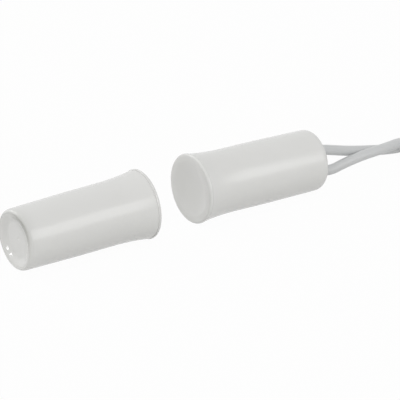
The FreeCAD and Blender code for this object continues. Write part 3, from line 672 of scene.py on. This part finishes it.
# %% The hank's sizes
HANK_MIDDLE = (68.87, -1.68)
REACH, WAIST = 15.0, 2.0  # how far the folds' middles and the waist's ends are from that middle
FOLD, LANE_PITCH = 4.8, 1.6  # the inner lane's fold radius, and from lane to lane
LAYERS, LAYER = 3, 2 * WIRE_RADIUS
NECK = 4.0  # from here to the waist the sides run under the tie
TIE_LIFT = 0.43  # the tie's strip lies under the lowest turn and lifts them all
FOLD_POINTS = 6
CLIMB = [0.1, 0.35, 0.65, 0.9, 1.0, 1.0]  # a fold's rise, as a share of a layer


def lane(number):
    """A lane's fold radius, its half width at the waist, and how far its sides slant."""
    radius = FOLD + LANE_PITCH * number
    half_width = LANE_PITCH / 2 + LANE_PITCH * number
    reach = REACH - WAIST
    slant = math.asin(radius / math.hypot(reach, half_width)) - math.atan2(half_width, reach)
    return radius, half_width, slant


print("fold radii", [round(lane(number)[0], 2) for number in (0, 1)], "mm")


# %% One side and one fold
def far_side(number, height):
    """One way along the hank's far side, from the near fold to the far one."""
    radius, half_width, slant = lane(number)
    straight = math.sqrt((REACH - WAIST) ** 2 + half_width**2 - radius**2)
    half_turn = (math.pi + 2 * slant) / FOLD_POINTS / 2
    stops = ((straight - radius * math.tan(half_turn), 0.0), (NECK, 0.0), (0.0, TIE_LIFT))
    pieces = []
    for distance, lift in stops:
        x = WAIST + distance * math.cos(slant)
        y = half_width + distance * math.sin(slant)
        pieces.append((x, y, height + lift))
    mirrored = [(-x, y, z) for x, y, z in pieces]
    return mirrored + pieces[::-1]


def far_fold(number, heights):
    """The way round the far fold."""
    radius, _, slant = lane(number)
    sweep = math.pi + 2 * slant
    half_turn = sweep / FOLD_POINTS / 2
    corner = radius / math.cos(half_turn)
    points = []
    for i, height in enumerate(heights):
        angle = math.pi / 2 + slant - half_turn * (2 * i + 1)
        points.append((REACH + corner * math.cos(angle), corner * math.sin(angle), height))
    return points


print(len(far_side(0, 0)), "points on a side,", len(far_fold(0, CLIMB)), "in a fold")

# %% All turns of a lead
PAST_WAIST = 4  # a side's points from its fold to just past the waist


def turned_back(points):
    """The same points half a turn round the hank's middle."""
    return [(-x, -y, z) for x, y, z in points]


def hank_points(number, past_waist, distance):
    """All turns of one lead, up to where its insulation ends: past the waist or past the far fold."""
    radius, half_width, slant = lane(number)
    points = []
    for layer in range(LAYERS):
        height = WIRE_RADIUS + LAYER * layer
        points += far_side(number, height)
        points += far_fold(number, [height] * FOLD_POINTS)
        if layer < LAYERS - 1:
            points += turned_back(far_side(number, height))
            points += turned_back(far_fold(number, [height + LAYER * c for c in CLIMB]))
    top = WIRE_RADIUS + LAYER * (LAYERS - 1)
    if past_waist:
        points += turned_back(far_side(number, top))[:PAST_WAIST]
        x = -WAIST - distance * math.cos(slant)
        y = -half_width - distance * math.sin(slant)
    else:
        x = REACH - radius * math.sin(slant) - distance * math.cos(slant)
        y = -radius * math.cos(slant) + distance * math.sin(slant)
    points.append((x, y, top))
    return [(x + HANK_MIDDLE[0], y + HANK_MIDDLE[1], z) for x, y, z in points]


upper_points = UPPER_ROUTE + hank_points(1, past_waist=False, distance=3.0)
lower_points = LOWER_ROUTE + hank_points(0, past_waist=True, distance=5.0)
print(len(upper_points), "and", len(lower_points), "points")

# %% [markdown]
# ## The leads as cords
#
# A curve with a round bevel is a lead with nothing more to model, and it keeps its line, so its length
# can be measured. The spline's order is set after its points: before there are points, Blender cuts
# it down to 2, and the runs come out straight.


# %% Both leads
def make_lead(name, points, stands_for):
    """A round cord along a smooth spline with these control points."""
    data = bpy.data.curves.new(name, "CURVE")
    data.dimensions = "3D"
    data.bevel_depth = WIRE_RADIUS * MM
    data.bevel_resolution = 6
    data.resolution_u = 8
    data.use_fill_caps = True
    spline = data.splines.new("NURBS")
    spline.points.add(len(points) - 1)
    for point, place in zip(spline.points, points):
        point.co = (*(Vector(place) * MM), 1)
    spline.order_u = 3
    spline.use_endpoint_u = True
    data.materials.append(insulation_white)
    piece = bpy.data.objects.new(name, data)
    bpy.context.scene.collection.objects.link(piece)
    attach(piece, "root")
    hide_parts(*stands_for)
    return piece


upper_lead = make_lead("upper_lead", upper_points, ("upper_wire", "wire_hank"))
lower_lead = make_lead("lower_lead", lower_points, ("lower_wire",))
print("leads", 2 * WIRE_RADIUS, "mm thick")


# %% How long the leads are
def spline_length(points):
    """A rough length of the spline: its chords between the middles of its control runs."""
    middles = [(Vector(a) + Vector(b)) / 2 for a, b in zip(points, points[1:])]
    stops = [Vector(points[0])] + middles + [Vector(points[-1])]
    return sum((b - a).length for a, b in zip(stops, stops[1:]))


lengths = [round(spline_length(points)) for points in (upper_points, lower_points)]
print("leads about", *lengths, "mm long")

# %% [markdown]
# ## The bare ends
#
# The last 6 mm of each lead are stripped for the installer. Under the insulation are seven tinned
# strands, one straight and six laid round it. One thin rod would be quicker, but the twist of the
# strands is what says wire, and it catches the light in small slanted lines. So each strand is a
# tube of its own: rings of vertices along a helix, joined and closed at both ends.

# %% The stripped strands
CORE_RADIUS, BARE_LENGTH = 0.38, 6.0
STRANDS, STRAND_RADIUS = 7, CORE_RADIUS / 3
LAY_LENGTH = 7.0  # along the wire for one turn of a strand
STRAND_STEPS, STRAND_SIDES = 40, 10


def closed_tube(mesh, rings):
    """Joins the rings and closes both ends."""
    bridge(mesh, rings)
    mesh.faces.new(rings[0])
    mesh.faces.new(rings[-1])


def make_bare_end(name, lead_points, node):
    """The stripped strands at the end of a lead, level and in line with it."""
    start = Vector(lead_points[-1])
    way = start - Vector(lead_points[-2])
    way.z = 0
    way.normalize()
    side = Vector((-way.y, way.x, 0))
    mesh = bmesh.new()
    for number in range(STRANDS):
        offset = 0.0 if number == 0 else 2 * STRAND_RADIUS
        rings = []
        for i in range(STRAND_STEPS + 1):
            distance = BARE_LENGTH * i / STRAND_STEPS
            phase = 2 * math.pi * (number / (STRANDS - 1) + distance / LAY_LENGTH)
            middle = start + way * distance
            middle += side * (offset * math.cos(phase)) + Vector((0, 0, offset * math.sin(phase)))
            ring = []
            for j in range(STRAND_SIDES):
                angle = 2 * math.pi * j / STRAND_SIDES
                out = side * (STRAND_RADIUS * math.cos(angle))
                place = middle + out + Vector((0, 0, STRAND_RADIUS * math.sin(angle)))
                ring.append(mesh.verts.new(place * MM))
            rings.append(ring)
        closed_tube(mesh, rings)
    return finish_mesh(name, mesh, tinned_copper, node)


upper_tip = make_bare_end("upper_strands", upper_points, "upper_wire_bare_end")
lower_tip = make_bare_end("lower_strands", lower_points, "lower_wire_bare_end")

# %% [markdown]
# ## The tie
#
# The hank is held by a twist tie: a flat plastic strip with a thin wire in its middle. It goes once
# round the waist, and its two ends are twisted together on top. A plain ring would hold the leads just
# as well in a picture, but the ridge of the wire and the twisted tail are what make it a tie.
#
# The loop is a section across the strip, with the ridge in it, carried round a rounded rectangle. The
# tail is two flattened tubes wound round each other.

# %% The tie's sizes
TIE_THICK, TIE_WIDE, TIE_TAIL = 0.4, 3.0, 7.0
TIE_HALF, TIE_HEIGHT = LANE_PITCH * 1.5 + WIRE_RADIUS, LAYER * LAYERS
TIE_INNER_ROUND, TIE_OUTER_ROUND = 0.35, 0.7
RIDGE_WIDTH, EDGE = 0.22, 0.5  # shares of the strip's half width, and of its thickness
TAIL_OFFSET, TAIL_WIDE, TAIL_THIN, TAIL_TURNS = 0.19, 0.20, 0.13, 2.5
ACROSS_STEPS, TAIL_STEPS, TAIL_SIDES = 12, 60, 8


def rounded_loop(half_y, height, low, radius, steps=8):
    """A rounded rectangle in the y, z plane, from low up."""
    corners = [
        (half_y - radius, low + radius, -90),
        (half_y - radius, low + height - radius, 0),
        (-half_y + radius, low + height - radius, 90),
        (-half_y + radius, low + radius, 180),
    ]
    points = []
    for y, z, start in corners:
        for i in range(steps + 1):
            angle = math.radians(start + 90 * i / steps)
            points.append((y + radius * math.cos(angle), z + radius * math.sin(angle)))
    return points


print("the tie goes round", round(2 * TIE_HALF, 2), "by", round(TIE_HEIGHT, 2), "mm of leads")


# %% The strip round the waist
def add_strip(mesh, middle):
    """The strip: at each point of the loop a ring of vertices, out across it and back inside."""
    section = []
    for i in range(ACROSS_STEPS + 1):
        u = -1 + 2 * i / ACROSS_STEPS
        thickness = EDGE + (1 - EDGE) * math.exp(-((u / RIDGE_WIDTH) ** 2))
        section.append((u * TIE_WIDE / 2, thickness))
    inner = rounded_loop(TIE_HALF, TIE_HEIGHT, TIE_THICK, TIE_INNER_ROUND)
    outer = rounded_loop(TIE_HALF + TIE_THICK, TIE_HEIGHT + 2 * TIE_THICK, 0.0, TIE_OUTER_ROUND)
    rings = []
    for (iy, iz), (oy, oz) in zip(inner, outer):
        places = []
        for x, thickness in section:
            places.append(Vector((x, iy + (oy - iy) * thickness, iz + (oz - iz) * thickness)))
        places += [Vector((x, iy, iz)) for x, _ in reversed(section)]
        rings.append([mesh.verts.new((middle + place) * MM) for place in places])
    bridge(mesh, rings + rings[:1])


tie_mesh = bmesh.new()
tie_middle = Vector((*HANK_MIDDLE, 0))
add_strip(tie_mesh, tie_middle)
print(len(tie_mesh.faces), "faces on the strip")


# %% The twisted tail
def add_tail_end(mesh, middle, start):
    """One of the two twisted ends, from the angle start, in radians."""
    height = TIE_HEIGHT + 3 * TIE_THICK
    rings = []
    for i in range(TAIL_STEPS + 1):
        u = i / TAIL_STEPS
        phase = start + u * 2 * math.pi * TAIL_TURNS
        lift = height + TAIL_OFFSET * math.sin(phase)
        centre = middle + Vector((u * TIE_TAIL, TAIL_OFFSET * math.cos(phase), lift))
        turned = phase + math.pi / 2
        ring = []
        for j in range(TAIL_SIDES):
            angle = 2 * math.pi * j / TAIL_SIDES
            wide, thin = TAIL_WIDE * math.cos(angle), TAIL_THIN * math.sin(angle)
            y = wide * math.cos(turned) - thin * math.sin(turned)
            z = wide * math.sin(turned) + thin * math.cos(turned)
            ring.append(mesh.verts.new((centre + Vector((0, y, z))) * MM))
        rings.append(ring)
    closed_tube(mesh, rings)


for start in (0.0, math.pi):
    add_tail_end(tie_mesh, tie_middle, start)
tie = finish_mesh("twist_tie", tie_mesh, tie_white, "hank_tie")

# %% [markdown]
# ## The cords' lengths
# #
# # A cord is more than its picture. Whoever uses the part wants to know how long it is, how thick, how
# # stiff, and where it comes out. The lengths printed above are measured along the insulation, from the
# # resin to the stripped end.

# %% [markdown]
# ## The pieces that the resin hides
#
# The reed switch, its joints, the sleeve and the magnet are small plain shapes, and the solid model has
# them right. New meshes would add nothing, so they keep their CAD shapes and get their real materials.

# %% Hidden pieces
HIDDEN = {
    "reed_glass": glass_clear,
    "reed_blade_front": reed_alloy,
    "reed_blade_rear": reed_alloy,
    "lead_sleeve": sleeve_dark,
    "solder_joint_front": solder_grey,
    "solder_joint_rear": solder_grey,
    "upper_wire_core": tinned_copper,
    "lower_wire_core": tinned_copper,
    "bar_magnet": magnet_grey,
}
for name, material in HIDDEN.items():
    for slot in nodes[name].material_slots:
        slot.material = material
print(len(HIDDEN), "hidden pieces")

# %% [markdown]
# ## The table
#
# The photograph has a white ground with hardly a shadow on it. A table lit until it is white would throw
# all that light back on the plugs and wash them out. So it is two things at once, told apart by the kind
# of ray. To the camera, and to the rays that come off a gloss or through glass, it is almost all a plain
# white glow, with a share of the lit table that keeps the shadow. To all other light it is a plain pale
# table.


# %% Rays that show a background
def seen_rays(tree):
    """1 for the rays that show a background: from the camera, off a gloss or through glass."""
    path = tree.nodes.new("ShaderNodeLightPath")
    kinds = [path.outputs[f"Is {kind} Ray"] for kind in ("Camera", "Glossy", "Transmission")]
    return step(tree, "MAXIMUM", kinds[0], step(tree, "MAXIMUM", kinds[1], kinds[2]))


def shown_or_lit(tree, share, lit, shown, output):
    """Mixes what lights the object with what is shown as the background."""
    mix = tree.nodes.new("ShaderNodeMixShader")
    tree.links.new(share, mix.inputs["Fac"])
    tree.links.new(lit.outputs[0], mix.inputs[1])
    tree.links.new(shown.outputs[0], mix.inputs[2])
    tree.links.new(mix.outputs[0], output.inputs["Surface"])


WHITE = (1, 1, 1, 1)
print("the background is", WHITE[:3])

# %% The table
TABLE_HALF, TABLE_DROP = 1.5, 0.00002  # metres
TABLE_GREY = (0.70, 0.70, 0.69, 1)
TABLE_GLOW = 0.97  # the rest of what the camera sees is the lit table with its shadow

floor_mesh = bmesh.new()
bmesh.ops.create_grid(floor_mesh, x_segments=1, y_segments=1, size=TABLE_HALF)
floor_data = bpy.data.meshes.new("table")
floor_mesh.to_mesh(floor_data)
floor_mesh.free()
table = bpy.data.objects.new("table", floor_data)
table.location = (0, 0, -TABLE_DROP)
bpy.context.scene.collection.objects.link(table)

table_white = bpy.data.materials.new("table_white")
table_white.use_nodes = True
tree = table_white.node_tree
tree.nodes.clear()
output = tree.nodes.new("ShaderNodeOutputMaterial")
lit = tree.nodes.new("ShaderNodeBsdfDiffuse")
lit.inputs["Color"].default_value = TABLE_GREY
plain = tree.nodes.new("ShaderNodeEmission")
plain.inputs["Color"].default_value = WHITE
plain.inputs["Strength"].default_value = 1.0
shown_or_lit(tree, step(tree, "MULTIPLY", seen_rays(tree), TABLE_GLOW), lit, plain, output)
floor_data.materials.append(table_white)
print("table", 2 * TABLE_HALF, "m wide")

# %% [markdown]
# ## The room
#
# Small white things are photographed in a light tent, where the light comes from all round but not
# evenly. An even world would leave the plugs flat, and an image of a real studio would be a file that
# this script doesn't have. So the world is an even level with soft glows added to it: a broad one in
# front, and one with a minus sign low on the right, which takes light from the sides that face it.
# Each glow is the cosine of the angle to its middle, raised to a power. The rays that show a background
# see plain white instead.

# %% How bright the room is each way
ROOM_LIGHT, ROOM_DARKEST = 0.47, 0.02
ROOM_COLOUR = (1.0, 0.998, 0.99, 1)
# Each glow: azimuth, elevation, how narrow it is, and how much it adds
GLOWS = [(-1.7, 22.9, 1.4, 0.86), (42.2, -10.0, 2.54, -2.215)]

world = bpy.data.worlds.new("room")
bpy.context.scene.world = world
world.use_nodes = True
tree = world.node_tree
tree.nodes.clear()
ray = tree.nodes.new("ShaderNodeTexCoord")
level = ROOM_LIGHT
for azimuth, elevation, narrow, strength in GLOWS:
    cosine = tree.nodes.new("ShaderNodeVectorMath")
    cosine.operation = "DOT_PRODUCT"
    cosine.inputs[1].default_value = direction(azimuth, elevation)
    tree.links.new(ray.outputs["Generated"], cosine.inputs[0])
    glow = step(tree, "POWER", step(tree, "MAXIMUM", cosine.outputs["Value"], 0.0), narrow)
    level = step(tree, "ADD", level, step(tree, "MULTIPLY", glow, strength))
print(len(GLOWS), "glows in the room")

# %% The room's two backgrounds
output = tree.nodes.new("ShaderNodeOutputWorld")
room = tree.nodes.new("ShaderNodeBackground")
room.inputs["Color"].default_value = ROOM_COLOUR
tree.links.new(step(tree, "MAXIMUM", level, ROOM_DARKEST), room.inputs["Strength"])
seen = tree.nodes.new("ShaderNodeBackground")
seen.inputs["Color"].default_value = WHITE
seen.inputs["Strength"].default_value = 1.0
shown_or_lit(tree, seen_rays(tree), room, seen, output)
print("the room has", len(tree.nodes), "nodes")

# %% [markdown]
# ## The lamps
#
# The room gives the soft shading, and lamps give what has an edge. The key, in front on the right, draws
# the long highlight down each plug. The rim light, behind, lifts their upper edges off the white ground.
# Two small lamps low on the left are there for their mirror images alone: the two bright glints in the
# magnet half's resin. Painted white dots would stay where they are when the camera moves, and these
# wander over the resin as real ones do.

# %% The softboxes
LAMP_DISTANCE = 0.55  # metres
# Each lamp: name, azimuth, elevation, size in metres and power in watts
LAMPS = [
    ("key", 28.0, 25.1, 0.30, 0.63),
    ("rim", 205.0, 34.0, 0.34, 0.74),
    ("glint_high", -100.0, 8.5, 0.034, 0.065),
    ("glint_low", -115.0, 14.5, 0.034, 0.065),
]
for name, azimuth, elevation, size, power in LAMPS:
    data = bpy.data.lights.new(name, "AREA")
    data.shape = "SQUARE"
    data.size = size
    data.energy = power
    lamp = bpy.data.objects.new(name, data)
    lamp.location = direction(azimuth, elevation) * LAMP_DISTANCE
    lamp.rotation_mode = "QUATERNION"
    lamp.rotation_quaternion = (-lamp.location).to_track_quat("-Z", "Y")
    bpy.context.scene.collection.objects.link(lamp)
bpy.context.scene.view_settings.view_transform = "Standard"
